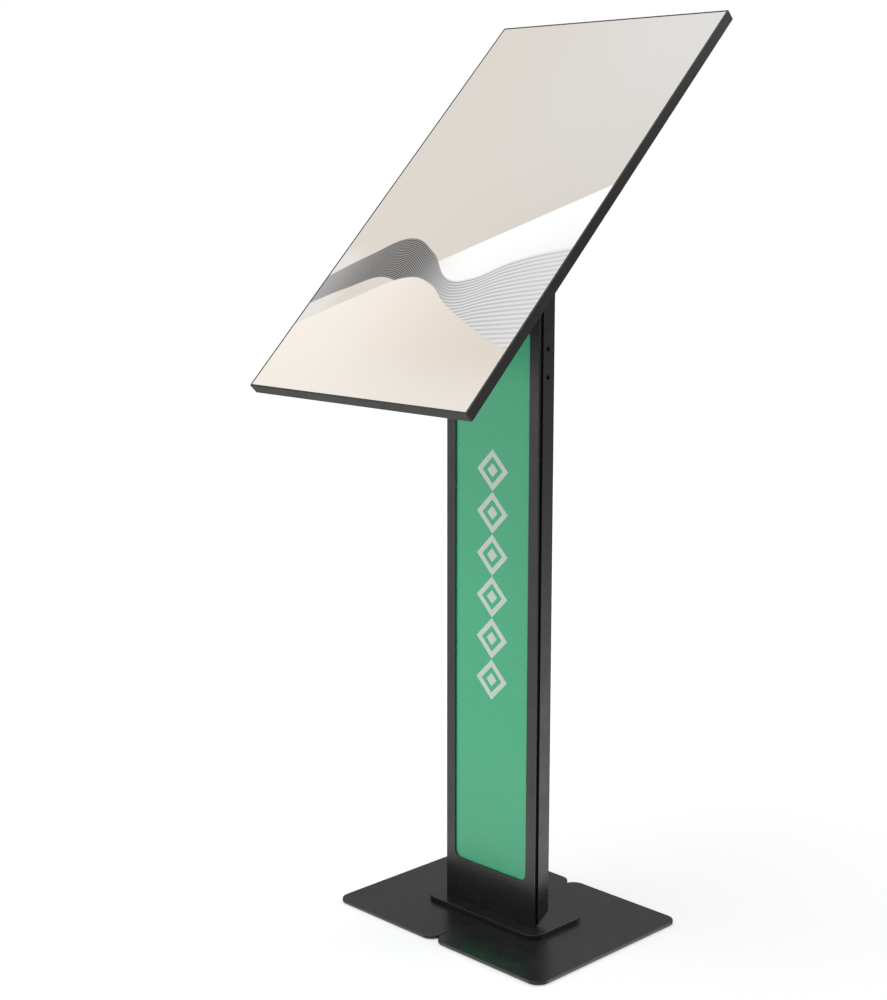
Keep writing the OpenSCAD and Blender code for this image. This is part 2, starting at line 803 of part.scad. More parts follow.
module cover_glass() {
    color("#dcd6ca") on_head() at_hub() translate([0, 0, glass_z0]) slab(pan_w, pan_h, glass_t, 1);
}

module glass_gasket() {
    color("#161616") on_head() at_hub() translate([0, 0, gasket_z0]) difference() {
        slab(pan_w, pan_h, gasket_t, 1);
        translate([0, 0, -1]) slab(pan_w - 2 * gasket_w, pan_h - 2 * gasket_w, gasket_t + 2, 1);
    }
}

module lcd_panel() {
    color("#1a1a1c") on_head() at_hub() translate([0, 0, lcd_z0]) slab(pan_w - 2, pan_h - 2, lcd_t, 1);
}

module backlight() {
    color("#e8e8e6") on_head() at_hub() translate([0, 0, light_z0])
        slab(pan_w - 3, pan_h - 3, lcd_z0 - light_z0, 1);
}

module back_pan() {
    color("#8c8c8e") on_head() difference() {
        at_hub() translate([0, 0, pan_z0]) slab(pan_w, pan_h, sheet_t, 1);
        at_cover_screws() cylinder(h = 3 * sheet_t, d = cover_screw_d + 2 * screw_fit);
    }
}

module vent_slots() {
    for (sx = [-1, 1], i = [0 : 8])
        translate([sx * 62, hub_up + cover_h / 2 - 40 - i * 9, cover_z0 - 1])
            slab(80, 3.4, sheet_t + 2, 1.6);
}

module speaker_slots() {
    for (sx = [-1, 1], i = [0 : 5])
        translate([sx * speaker_x, speaker_y + (i - 2.5) * 8, cover_z0 - 1]) slab(30, 2.6, sheet_t + 2, 1.2);
}

module rear_cover() {
    color("#232324") on_head() difference() {
        at_hub() {
            translate([0, 0, cover_z0]) slab(cover_w, cover_h, pan_z0 - cover_z0, cover_r);
            translate([0, 0, slab_z0])
                slab(cover_w + 2 * cover_flange_w, cover_h + 2 * cover_flange_w, sheet_t, cover_r + 4);
        }
        at_hub() translate([0, 0, cover_cavity_z])
            slab(cover_w - 2 * sheet_t, cover_h - 2 * sheet_t, cover_d + 10, cover_r - sheet_t);
        at_display_fixings() translate([0, 0, cover_z0 - 1]) cylinder(h = sheet_t + 2, d = fix_screw_d + 0.6);
        at_cover_screws() translate([0, 0, -1]) cylinder(h = sheet_t + 2, d = cover_screw_d + 2 * screw_fit);
        vent_slots();
        speaker_slots();
        block([-port_w / 2 - drop_fit, cover_bottom - 1, button_z - port_h / 2 - drop_fit],
              [port_w / 2 + drop_fit, cover_bottom + 2 * sheet_t, button_z + port_h / 2 + drop_fit]);
        block([inlet_x - inlet_w / 2 - drop_fit, cover_bottom - 1, button_z - inlet_h / 2 - drop_fit],
              [inlet_x + inlet_w / 2 + drop_fit, cover_bottom + 2 * sheet_t,
               button_z + inlet_h / 2 + drop_fit]);
        for (i = [0 : 3]) at_button(i) translate([0, 0, -4 * sheet_t])
            cylinder(h = 6 * sheet_t, d = button_d + 2 * slip);
    }
}

module cover_screws() {
    color("#8c8c8e") on_head() at_cover_screws() cap_screw(cover_screw_d, 2 * sheet_t - 0.2, 1.8);
}

module main_board() {
    half = 84;
    y0 = hub_up - 4;
    y1 = y0 + 118;
    color("#1f5b3a") on_head() difference() {
        union() {
            block([-half, y0, board_z], [half, y1, board_z + board_t]);
            block([-20, y0 + 40, board_z - 8], [20, y0 + 80, board_z]);
            block([36, y0 + 20, board_z - 3], [66, y0 + 44, board_z]);
            block([36, y0 + 60, board_z - 3], [58, y0 + 90, board_z]);
            block([-70, y0 + 15, board_z - 10], [-40, y0 + 30, board_z]);
            block([-16, y1 - 6, board_z - 3], [16, y1, board_z]);
        }
        for (i = [0 : 8])
            block([-18 + i * 4, y0 + 39, board_z - 9], [-16 + i * 4, y0 + 81, board_z - 2]);
    }
}

module power_board() {
    half = 78;
    y1 = hub_up - 20;
    y0 = y1 - 76;
    color("#7a5a2a") on_head() {
        block([-half, y0, board_z], [half, y1, board_z + board_t]);
        block([-30, y0 + 20, board_z - 14], [6, y0 + 52, board_z]);
        block([48, y0 + 10, board_z - 12], [60, y0 + 66, board_z]);
        for (i = [0 : 2]) translate([-60, y0 + 16 + i * 20, board_z - 14]) cylinder(h = 14, d = 14);
    }
}

module board_spacers() {
    main_y0 = hub_up - 4;
    power_y1 = hub_up - 20;
    color("#a8a8ab") on_head() {
        for (sx = [-1, 1], y = [main_y0 + 6, main_y0 + 112])
            translate([sx * 78, y, board_z + board_t]) cylinder(h = pan_z0 - board_z - board_t, r = spacer_r);
        for (sx = [-1, 1], y = [power_y1 - 70, power_y1 - 6])
            translate([sx * 72, y, board_z + board_t]) cylinder(h = pan_z0 - board_z - board_t, r = spacer_r);
    }
}

module speakers() {
    color("#161616") on_head() for (sx = [-1, 1])
        translate([sx * speaker_x, speaker_y, cover_cavity_z + 2]) difference() {
            slab(speaker_w, speaker_h, pan_z0 - cover_cavity_z - 2, 6);
            translate([0, 0, -1]) cylinder(h = 4, r = 17);
        }
}

module port_block() {
    face_y = cover_bottom;
    color("#38383a") on_head() difference() {
        block([-port_w / 2, face_y, button_z - port_h / 2],
              [port_w / 2, face_y + port_depth, button_z + port_h / 2]);
        for (x = [-38, -16, 6]) block([x, face_y - 1, button_z - 3], [x + 15, face_y + 3, button_z + 3]);
        for (x = [28, 40]) block([x - 3, face_y - 1, button_z - 4], [x + 4, face_y + 3, button_z + 4]);
    }
}

module power_inlet() {
    color("#161616") on_head() difference() {
        block([inlet_x - inlet_w / 2, cover_bottom, button_z - inlet_h / 2],
              [inlet_x + inlet_w / 2, cover_bottom + port_depth, button_z + inlet_h / 2]);
        difference() {
            block([inlet_x - 11, cover_bottom - 1, button_z - 7],
                  [inlet_x + 11, cover_bottom + 15, button_z + 7]);
            for (x = [-6, 0, 6])
                block([inlet_x + x - 1, cover_bottom, button_z - 3],
                      [inlet_x + x + 1, cover_bottom + 16, button_z + 3]);
        }
    }
}

module panel_cable() {
    y0 = hub_up + 114;
    strip_t = 0.8;
    color("#d8d4c8") on_head() across(0, 30)
        polygon([[y0, board_z], [y0 + 9, board_z], [y0 + 9, pan_z0], [y0 + 9 - strip_t, pan_z0],
                 [y0 + 9 - strip_t, board_z + strip_t], [y0, board_z + strip_t]]);
}

// ---- Buttons on the right-hand wall of the rear cover ----
// Local Z points out of the wall, with z = 0 on its outer face
module at_button(i) {
    translate([cover_w / 2, button_y + i * button_pitch, button_z]) rotate([0, 90, 0]) children();
}

module key_board() {
    board_x = switch_x - 3.3;
    span = 3 * button_pitch;
    color("#1f5b3a") on_head() {
        block([board_x, button_y - 12, button_z - 8], [board_x + board_t, button_y + span + 12, pan_z0]);
        for (i = [0 : 3]) translate([board_x + board_t, button_y + i * button_pitch, button_z])
            rotate([0, 90, 0]) cylinder(h = switch_x - board_x - board_t, d = 4);
    }
}

module wall_button(i) {
    color("#161616") on_head() at_button(i) {
        translate([0, 0, -sheet_t - slip - 0.01])
            cylinder(h = sheet_t + slip + button_proud + 0.01, d = button_d);
        translate([0, 0, -sheet_t - slip - button_flange_t])
            cylinder(h = button_flange_t, d = button_d + 2 * button_flange);
        translate([0, 0, -sheet_t - slip - button_flange_t - button_stem])
            cylinder(h = button_stem + 0.01, d = button_d / 2);
    }
}

module power_button() {
    wall_button(3);
}

module menu_button() {
    wall_button(2);
}

module plus_button() {
    wall_button(1);
}

module minus_button() {
    wall_button(0);
}

base_plate_left();
base_plate_right();
base_pads();
base_screws();
foot_flange();
foot_bracket();
foot_screws();
column_core();
column_side_left();
column_side_right();
fascia_frame();
panel_rail_left();
panel_rail_right();
panel_ledge();
graphic_panel();
fascia_screws();
service_cover();
service_screws();
column_cap();
cap_grommet();
head_insert();
side_screws();
tilt_fork();
fork_screws();
tilt_axle();
axle_nut();
friction_washers();
tilt_bushes();
tilt_knuckle();
hub_ring();
ring_screws();
hub_spindle();
spindle_nut();
spindle_screws();
stop_pin();
display_bracket();
bracket_screws();
display_standoffs();
display_rim();
cover_glass();
glass_gasket();
lcd_panel();
backlight();
back_pan();
rear_cover();
cover_screws();
main_board();
power_board();
board_spacers();
speakers();
port_block();
power_inlet();
panel_cable();
key_board();
power_button();
menu_button();
plus_button();
minus_button();
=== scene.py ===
import json
import math

import bmesh
import bpy
from mathutils import Matrix, Vector


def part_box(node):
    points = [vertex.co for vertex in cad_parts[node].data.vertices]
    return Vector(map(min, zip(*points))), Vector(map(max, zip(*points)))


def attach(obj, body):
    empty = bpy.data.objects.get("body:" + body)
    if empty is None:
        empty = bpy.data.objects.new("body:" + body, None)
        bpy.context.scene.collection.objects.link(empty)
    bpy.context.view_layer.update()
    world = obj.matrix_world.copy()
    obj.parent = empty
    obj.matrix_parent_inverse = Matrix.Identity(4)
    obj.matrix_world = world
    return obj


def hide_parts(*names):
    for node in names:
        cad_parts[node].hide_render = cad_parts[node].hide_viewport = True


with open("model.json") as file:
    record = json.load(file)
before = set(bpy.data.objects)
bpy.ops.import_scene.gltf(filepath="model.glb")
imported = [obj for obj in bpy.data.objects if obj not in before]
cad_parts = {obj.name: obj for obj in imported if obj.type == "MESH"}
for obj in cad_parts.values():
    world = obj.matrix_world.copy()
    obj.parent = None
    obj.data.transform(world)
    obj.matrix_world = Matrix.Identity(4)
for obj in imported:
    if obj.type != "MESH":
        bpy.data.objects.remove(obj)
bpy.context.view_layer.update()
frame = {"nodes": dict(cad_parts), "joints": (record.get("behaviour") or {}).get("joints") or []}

MM = 0.001


# ---- Studio ----
# A plain pale floor under broad, soft light, with a white surround. The camera stands to the right of the
# front, a little above the screen, with a medium long lens.
def add_node(tree, kind, inputs=None, **settings):
    """Adds a shader node, sets its properties, and sets or joins its inputs."""
    made = tree.nodes.new("ShaderNode" + kind)
    for name, value in settings.items():
        setattr(made, name, value)
    for socket, value in (inputs or {}).items():
        if isinstance(value, bpy.types.NodeSocket):
            tree.links.new(value, made.inputs[socket])
        else:
            made.inputs[socket].default_value = value
    return made


def calc(tree, operation, a, b=0.0, c=0.0, clamp=False):
    """One sum on numbers; gives back its output."""
    return add_node(tree, "Math", {0: a, 1: b, 2: c}, operation=operation, use_clamp=clamp).outputs[0]


def mix_colours(tree, share, first, second):
    """The first colour, turning into the second as share goes from 0 to 1."""
    return add_node(tree, "Mix", {0: share, 6: first, 7: second}, data_type="RGBA").outputs[2]


def ramp(tree, share, low, high, start=0.0, end=1.0, shape="SMOOTHSTEP"):
    """A number that goes from start to end as share goes from low to high."""
    inputs = {"Value": share, "From Min": low, "From Max": high, "To Min": start, "To Max": end}
    return add_node(tree, "MapRange", inputs, interpolation_type=shape).outputs[0]


scene = bpy.context.scene
scene.view_settings.view_transform = "Standard"

world = bpy.data.worlds.new("studio_surround")
scene.world = world
world.use_nodes = True
sky = world.node_tree
sky.nodes.clear()
facing = add_node(sky, "TexCoord").outputs["Generated"]
height = add_node(sky, "SeparateXYZ", {0: facing}).outputs["Z"]
glow = ramp(sky, height, -0.6, -0.25, 0.62, 0.27)
glow = calc(sky, "ADD", glow, ramp(sky, height, 0.35, 0.95, 0.0, 0.45))
# Each glow: where it lies, the cosines at its rim and at its full middle, and its strength
GLOWS = [
    ((-0.70, -0.70, -0.14), 0.966, 0.9985, 0.62),
    ((0.66, 0.66, -0.375), 0.980, 0.9985, 1.5),
    ((-0.64, -0.64, -0.44), 0.986, 0.998, 1.0),
    ((0.70, 0.71, 0.04), 0.982, 0.996, -0.26),
]
for aim, edge, core, strength in GLOWS:
    toward = add_node(sky, "VectorMath", {0: facing, 1: Vector(aim).normalized()}, operation="DOT_PRODUCT")
    glow = calc(sky, "ADD", glow, ramp(sky, toward.outputs["Value"], edge, core, 0.0, strength))
soft = add_node(sky, "Background", {"Color": (1.0, 0.995, 0.985, 1.0), "Strength": glow})
white = add_node(sky, "Background", {"Color": (1.0, 1.0, 1.0, 1.0), "Strength": 1.0})
seen = add_node(sky, "LightPath").outputs["Is Camera Ray"]
surround = add_node(sky, "MixShader", {0: seen, 1: soft.outputs[0], 2: white.outputs[0]})
add_node(sky, "OutputWorld", {"Surface": surround.outputs[0]})

bpy.ops.mesh.primitive_plane_add(size=80, location=(0, 0, 0))
floor = bpy.context.object
floor.name = "studio_floor"
floor.visible_glossy = False
pale = bpy.data.materials.new("pale_floor")
pale.use_nodes = True
pale.node_tree.nodes.clear()
FILL_NEAR = 0.6
FILL_FAR = 3.0
spot = add_node(pale.node_tree, "TexCoord").outputs["Object"]
distance = add_node(pale.node_tree, "VectorMath", {0: spot}, operation="LENGTH").outputs["Value"]
fill = ramp(pale.node_tree, distance, FILL_NEAR, FILL_FAR, 0.64, 0.86)
fill = add_node(pale.node_tree, "CombineXYZ", {0: fill, 1: fill, 2: fill}).outputs[0]
floor_body = add_node(
    pale.node_tree, "BsdfPrincipled",
    {"Base Color": (0.75, 0.75, 0.75, 1.0), "Roughness": 0.9, "Specular IOR Level": 0.0,
     "Emission Color": fill, "Emission Strength": 0.75},
)
add_node(pale.node_tree, "OutputMaterial", {"Surface": floor_body.outputs[0]})
floor.data.materials.append(pale)


def softbox(name, place, aim, width, power):
    """A large square soft light that isn't seen by the camera itself."""
    bpy.ops.object.light_add(type="AREA", location=place)
    lamp = bpy.context.object
    lamp.name = name
    lamp.data.size = width
    lamp.data.energy = power
    lamp.visible_camera = False
    lamp.rotation_euler = (Vector(aim) - Vector(place)).to_track_quat("-Z", "Y").to_euler()


softbox("overhead_softbox", (-0.8, -1.4, 3.4), (0, 0, 0.6), 2.6, 38)
softbox("back_softbox", (1.2, 2.8, 2.4), (0, 0, 0.7), 2.2, 20)

VIEW_AZIMUTH = math.radians(45.427)
VIEW_ELEVATION = math.radians(10.402)
bpy.ops.object.camera_add(location=(1.683, -1.787, 1.073))
camera = bpy.context.object
camera.name = "studio_camera"
camera.data.sensor_width = 36.0
camera.data.lens = 63.09
camera.data.clip_end = 200.0
camera.rotation_mode = "QUATERNION"
back_off = Vector((
    math.sin(VIEW_AZIMUTH) * math.cos(VIEW_ELEVATION),
    -math.cos(VIEW_AZIMUTH) * math.cos(VIEW_ELEVATION),
    math.sin(VIEW_ELEVATION),
))
camera.rotation_quaternion = (-back_off).to_track_quat("-Z", "Y")
scene.camera = camera


# ---- Base plates ----
# Two 5 mm steel plates side by side with a narrow seam. Cut with round corners, edges eased, and coated in
# fine satin black powder. Countersunk holes underneath take the flange's screws.
def select_nothing():
    """Leaves edit mode and deselects everything."""
    if bpy.context.mode != "OBJECT":
        bpy.ops.object.mode_set(mode="OBJECT")
    bpy.ops.object.select_all(action="DESELECT")


def start_box(name, low, high):
    """A box between two corners, alone in the selection, ready to be shaped."""
    select_nothing()
    low, high = Vector(low), Vector(high)
    bpy.ops.mesh.primitive_cube_add(size=1, location=(low + high) / 2, scale=high - low)
    piece = bpy.context.object
    piece.name = piece.data.name = name
    bpy.ops.object.transform_apply(location=True, rotation=True, scale=True)
    return piece


def start_round(name, centre, radius, depth, facets=48):
    """An upright round bar, alone in the selection, ready to be shaped."""
    select_nothing()
    bpy.ops.mesh.primitive_cylinder_add(vertices=facets, radius=radius, depth=depth, location=centre)
    piece = bpy.context.object
    piece.name = piece.data.name = name
    bpy.ops.object.transform_apply(location=True, rotation=True, scale=True)
    return piece


def pick(kind, test):
    """In edit mode, selects the corners, edges or faces that pass the test, and nothing else."""
    if bpy.context.mode != "EDIT_MESH":
        bpy.ops.object.mode_set(mode="EDIT")
    bpy.ops.mesh.select_mode(type=kind)
    bpy.ops.mesh.select_all(action="DESELECT")
    mesh = bpy.context.edit_object.data
    work = bmesh.from_edit_mesh(mesh)
    parts = {"VERT": work.verts, "EDGE": work.edges, "FACE": work.faces}[kind]
    for part in parts:
        if test(part):
            part.select_set(True)
    work.select_flush_mode()
    bmesh.update_edit_mesh(mesh)


def along(axis):
    """A test for edges that run along one axis, 0 to 2."""
    def test(edge):
        run = edge.verts[1].co - edge.verts[0].co
        return abs(run[axis]) > 0.999 * run.length
    return test


def sharp(edge):
    """True for an edge where two faces meet at more than 50 degrees."""
    return len(edge.link_faces) == 2 and edge.calc_face_angle(0.0) > math.radians(50)


def facing_way(axis, sign):
    """A test for faces that look along an axis, 0 to 2, one way or the other."""
    return lambda face: face.normal[axis] * sign > 0.99


def round_off(width, segments):
    """Rounds the picked edges."""
    bpy.ops.mesh.bevel(offset=width, offset_type="OFFSET", segments=segments, affect="EDGES")


def alone(piece):
    """Leaves edit mode and selects only this piece."""
    select_nothing()
    piece.select_set(True)
    bpy.context.view_layer.objects.active = piece


def apply_modifier(piece, kind, **settings):
    """Adds a modifier and applies it at once."""
    alone(piece)
    made = piece.modifiers.new(kind.lower(), kind)
    for name, value in settings.items():
        setattr(made, name, value)
    bpy.ops.object.modifier_apply(modifier=made.name)


def cut_away(piece, cutters):
    """Cuts the cutters out of a piece and throws them away."""
    for cutter in cutters:
        alone(cutter)
        apply_modifier(piece, "BOOLEAN", operation="DIFFERENCE", object=cutter, solver="EXACT")
        bpy.data.objects.remove(cutter)


SMOOTH_ANGLE = math.radians(35)


def close_piece(piece, body, slot, finish, *nodes):
    """Smooths a finished piece, gives it its finish, and has it ride and stand for its CAD nodes."""
    alone(piece)
    bpy.ops.object.shade_smooth_by_angle(angle=SMOOTH_ANGLE)
    apply_modifier(piece, "WEIGHTED_NORMAL", mode="FACE_AREA", weight=50, keep_sharp=True)
    piece.data.materials.clear()
    piece.data.materials.append(finish)
    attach(piece, body)
    if nodes:
        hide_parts(*nodes)
    return piece


def number_group(name, inputs, outputs):
    """An empty node group with named number inputs and outputs, and its two ends."""
    tree = bpy.data.node_groups.new(name, "ShaderNodeTree")
    for label, value in inputs.items():
        socket = tree.interface.new_socket(label, in_out="INPUT", socket_type="NodeSocketFloat")
        socket.default_value = value
    for label in outputs:
        tree.interface.new_socket(label, in_out="OUTPUT", socket_type="NodeSocketFloat")
    return tree, tree.nodes.new("NodeGroupInput").outputs, tree.nodes.new("NodeGroupOutput")


def noise(tree, place, scale, detail=2.0, roughness=0.5):
    """Even noise from 0 to 1."""
    inputs = {"Vector": place, "Scale": scale, "Detail": detail, "Roughness": roughness}
    return add_node(tree, "TexNoise", inputs).outputs["Fac"]


# Grain: the fine orange peel of a coat or moulding, with broad changes of tone and gloss
grain, given, out = number_group(
    "surface_grain", {"Scale": 900.0, "Breadth": 7.0}, ["Height", "Tone", "Gloss"],
)
own = add_node(grain, "TexCoord").outputs["Object"]
fine = noise(grain, own, given["Scale"], 3.0, 0.6)
pitted = noise(grain, own, calc(grain, "MULTIPLY", given["Scale"], 0.31), 1.0)
grain.links.new(calc(grain, "MULTIPLY_ADD", pitted, 0.6, fine), out.inputs["Height"])
broad = noise(grain, own, given["Breadth"], 4.0, 0.6)
grain.links.new(ramp(grain, broad, 0.3, 0.7), out.inputs["Tone"])
patchy = noise(grain, own, calc(grain, "MULTIPLY", given["Breadth"], 5.0), 3.0, 0.65)
grain.links.new(ramp(grain, patchy, 0.25, 0.75), out.inputs["Gloss"])

# Wear: a broken line along edges, where hands and dusters rub the finish
wear, given, out = number_group("edge_wear", {"Radius": 0.0012, "Amount": 1.0}, ["Mask"])
eased = add_node(wear, "Bevel", {"Radius": given["Radius"]}, samples=4).outputs[0]
plain = add_node(wear, "NewGeometry").outputs["Normal"]
agree = add_node(wear, "VectorMath", {0: eased, 1: plain}, operation="DOT_PRODUCT").outputs["Value"]
turned = ramp(wear, agree, 0.985, 0.86)
own = add_node(wear, "TexCoord").outputs["Object"]
broken = ramp(wear, noise(wear, own, 85.0, 4.0, 0.7), 0.42, 0.68)
rubbed = calc(wear, "MULTIPLY", calc(wear, "MULTIPLY", turned, broken), given["Amount"], clamp=True)
wear.links.new(rubbed, out.inputs["Mask"])

# Dust: what settles on faces that look up, thicker in patches
dust, given, out = number_group("settled_dust", {"Amount": 1.0}, ["Mask"])
upward = add_node(dust, "SeparateXYZ", {0: add_node(dust, "NewGeometry").outputs["Normal"]}).outputs["Z"]
own = add_node(dust, "TexCoord").outputs["Object"]
specks = calc(dust, "ADD", noise(dust, own, 18.0, 5.0, 0.7), noise(dust, own, 1400.0, 2.0))
lying = calc(dust, "MULTIPLY", ramp(dust, upward, 0.6, 1.0), ramp(dust, specks, 0.8, 1.35))
dust.links.new(calc(dust, "MULTIPLY", lying, given["Amount"], clamp=True), out.inputs["Mask"])


def use_group(tree, shared, **values):
    """Places a shared effect in a material, with its own values."""
    made = tree.nodes.new("ShaderNodeGroup")
    made.node_tree = shared
    for label, value in values.items():
        made.inputs[label.replace("_", " ")].default_value = value
    return made.outputs


def coated(name, dark, light, gloss, scale, depth, worn, worn_share=0.5, dusty=0.0, ior=1.5):
    """A coated, moulded or rubber finish: two close tones, patchy gloss, fine grain, rubbed edges and dust."""
    made = bpy.data.materials.new(name)
    made.use_nodes = True
    tree = made.node_tree
    tree.nodes.clear()
    peel = use_group(tree, grain, Scale=scale, Breadth=7.0)
    rub = use_group(tree, wear, Radius=0.0012, Amount=worn_share)["Mask"]
    colour = mix_colours(tree, peel["Tone"], (*dark, 1.0), (*light, 1.0))
    colour = mix_colours(tree, rub, colour, (*worn, 1.0))
    rough = ramp(tree, peel["Gloss"], 0.0, 1.0, gloss[0], gloss[1], shape="LINEAR")
    rough = calc(tree, "MULTIPLY_ADD", rub, -0.1, rough)
    if dusty:
        lying = use_group(tree, dust, Amount=dusty)["Mask"]
        colour = mix_colours(tree, lying, colour, (0.16, 0.155, 0.145, 1.0))
        rough = calc(tree, "MULTIPLY_ADD", lying, 0.3, rough)
    bumps = add_node(tree, "Bump", {"Height": peel["Height"], "Distance": depth, "Strength": 1.0})
    body = add_node(
        tree, "BsdfPrincipled",
        {"Base Color": colour, "Roughness": rough, "Normal": bumps.outputs[0], "IOR": ior},
    )
    add_node(tree, "OutputMaterial", {"Surface": body.outputs[0]})
    return made


def dress(node, finish):
    """Gives a CAD node that stays its finish."""
    for held in frame["nodes"][node].material_slots:
        held.material = finish


powder_coat = coated(
    "satin_black_powder_coat", (0.0065, 0.0065, 0.0068), (0.0105, 0.0105, 0.0108), (0.25, 0.31),
    820.0, 0.000015, (0.05, 0.05, 0.052), worn_share=0.5, dusty=0.06, ior=1.75,
)

PLATE_CORNER = 19 * MM
PLATE_EASE = 0.8 * MM
SCREW_ACROSS = (30 * MM, 88 * MM)
SCREW_BACK = (-43 * MM, 37 * MM)
SCREW_PLACES = [(side * x, y) for side in (-1, 1) for x in SCREW_ACROSS for y in SCREW_BACK]
SCREW_HEAD = 5.8 * MM
SCREW_SHANK = 3.1 * MM
SINK_DEPTH = 3.2 * MM
SINK_MIDDLE = 1.1 * MM
THROUGH = 30 * MM
for plate_node in ("base_plate_left", "base_plate_right"):
    low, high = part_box(plate_node)
    plate = start_box(plate_node.replace("base_", "coated_"), low, high)
    pick("EDGE", along(2))
    round_off(PLATE_CORNER, 12)
    pick("EDGE", sharp)
    round_off(PLATE_EASE, 3)
    sinks = []
    for x, y in SCREW_PLACES:
        if low.x < x < high.x:
            select_nothing()
            bpy.ops.mesh.primitive_cone_add(
                vertices=40, radius1=SCREW_HEAD + 0.5 * MM, radius2=SCREW_SHANK, depth=SINK_DEPTH,
                location=(x, y, low.z + SINK_MIDDLE),
            )
            sinks.append(bpy.context.object)
            sinks.append(start_round("shank_hole", (x, y, (low.z + high.z) / 2), SCREW_SHANK, THROUGH, 40))
    cut_away(plate, sinks)
    close_piece(plate, "stand", "black_powder_coat", powder_coat, plate_node)


# ---- Base pads and screws ----
# Thin rubber pads under the corners and across the seam, moulded with a shallow cup. The countersunk screws
# are zinc plated and come up through the plates into the flange.
rubber = coated(
    "moulded_black_rubber", (0.012, 0.012, 0.012), (0.022, 0.021, 0.020), (0.62, 0.8),
    1500.0, 0.00003, (0.05, 0.05, 0.05), worn_share=0.3, dusty=0.15,
)


def join_pieces(name, pieces):
    """Joins pieces into the first one."""
    alone(pieces[0])
    for piece in pieces:
        piece.select_set(True)
    bpy.ops.object.join()
    joined = bpy.context.object
    joined.name = joined.data.name = name
    return joined


def copy_to(piece, shift):
    """A copy with its own mesh, moved by shift."""
    alone(piece)
    bpy.ops.object.duplicate()
    twin = bpy.context.object
    twin.data.transform(Matrix.Translation(shift))
    return twin


PAD_RADIUS = 12 * MM
PAD_INSET = 26 * MM
pad_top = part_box("base_pads")[1].z
pad = start_round("rubber_pad", (0, 0, pad_top / 2), PAD_RADIUS, pad_top, 40)
pick("EDGE", sharp)
round_off(0.3 * MM, 2)
pick("FACE", facing_way(2, -1))
bpy.ops.mesh.inset(thickness=2.5 * MM)
bpy.ops.mesh.inset(thickness=0.4 * MM, depth=-0.35 * MM)
pads = [pad]
for plate_node in ("base_plate_left", "base_plate_right"):
    low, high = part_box(plate_node)
    for x in (low.x + PAD_INSET, high.x - PAD_INSET):
        for y in (low.y + PAD_INSET, high.y - PAD_INSET):
            pads.append(copy_to(pad, (x, y, 0)))
close_piece(join_pieces("rubber_pads", pads), "stand", "black_rubber", rubber, "base_pads")


def metal(name, dark, light, rough, scale, stretch, depth, worn=(0.75, 0.75, 0.76), tarnish=0.25):
    """Bare or plated metal: tool marks along one way, patchy tarnish and brighter edges."""
    made = bpy.data.materials.new(name)
    made.use_nodes = True
    tree = made.node_tree
    tree.nodes.clear()
    own = add_node(tree, "TexCoord").outputs["Object"]
    drawn = add_node(tree, "Mapping", {"Vector": own, "Scale": stretch}).outputs[0]
    lines = noise(tree, drawn, scale, 3.0, 0.65)
    peel = use_group(tree, grain, Scale=scale * 0.5, Breadth=22.0)
    rub = use_group(tree, wear, Radius=0.0006, Amount=0.6)["Mask"]
    share = calc(tree, "MULTIPLY_ADD", peel["Tone"], tarnish, calc(tree, "MULTIPLY", lines, 1.0 - tarnish))
    colour = mix_colours(tree, share, (*dark, 1.0), (*light, 1.0))
    colour = mix_colours(tree, rub, colour, (*worn, 1.0))
    gloss = ramp(tree, peel["Gloss"], 0.0, 1.0, rough[0], rough[1], shape="LINEAR")
    bumps = add_node(tree, "Bump", {"Height": lines, "Distance": depth, "Strength": 1.0})
    body = add_node(
        tree, "BsdfPrincipled",
        {"Base Color": colour, "Roughness": gloss, "Normal": bumps.outputs[0], "Metallic": 1.0},
    )
    add_node(tree, "OutputMaterial", {"Surface": body.outputs[0]})
    return made


zinc = metal(
    "bright_zinc_plate", (0.42, 0.43, 0.45), (0.66, 0.67, 0.69), (0.26, 0.42),
    900.0, (1.0, 1.0, 0.25), 0.00001,
)
dress("base_screws", zinc)


# ---- Foot flange ----
# A flat steel flange under the column, 7 mm thick with round corners, coated like the base. It is screwed
# down from below, so its top is plain.
FLANGE_CORNER = 20 * MM
low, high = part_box("foot_flange")
flange = start_box("column_flange", low, high)
pick("EDGE", along(2))
round_off(FLANGE_CORNER, 12)
pick("EDGE", sharp)
round_off(0.6 * MM, 3)
close_piece(flange, "stand", "black_powder_coat", powder_coat, "foot_flange")


# ---- Column frame inside ----
# Folded steel in thin primer: the foot bracket, the core behind the panel and the insert at the top.
# Dark anodised rails and a ledge hold the panel, with zinc screws from behind.
# The primer's dark tones are partly painted shade, darkened so the groove between the fascia and the sides
# reads as shadow.
primer_darkened_for_groove_shade = coated(
    "thin_primer_darkened_as_groove_shade", (0.016, 0.016, 0.0165), (0.025, 0.0245, 0.024), (0.5, 0.68),
    600.0, 0.00003, (0.12, 0.115, 0.11), worn_share=0.4,
)
rail_metal = metal(
    "dark_anodised_rail", (0.045, 0.045, 0.047), (0.085, 0.085, 0.087), (0.3, 0.42),
    700.0, (1.0, 1.0, 0.02), 0.00001, worn=(0.3, 0.3, 0.31),
)
for kept in ("foot_bracket", "column_core", "head_insert"):
    dress(kept, primer_darkened_for_groove_shade)
for kept in ("panel_rail_left", "panel_rail_right", "panel_ledge"):
    dress(kept, rail_metal)
for kept in ("foot_screws", "fascia_screws", "service_screws", "fork_screws"):
    dress(kept, zinc)


# ---- Column sides ----
# The column's left and right sides, a handed pair in folded 2 mm sheet. Each has a narrow return in front that
# leaves the shadow groove, and a wide one behind for the service cover, with an eased bend. The foot is cut on
# a slant for the cable, and two holes a side take screws.
SHEET = 2 * MM
BEND = 3.2 * MM
FRONT_RETURN = 4 * MM
SIDE_HOLE = 3.5 * MM
COVER_HOLE = 2.2 * MM
COVER_HOLES = 6
EXIT_FRONT = 2 * MM
EXIT_BACK = 18.6 * MM


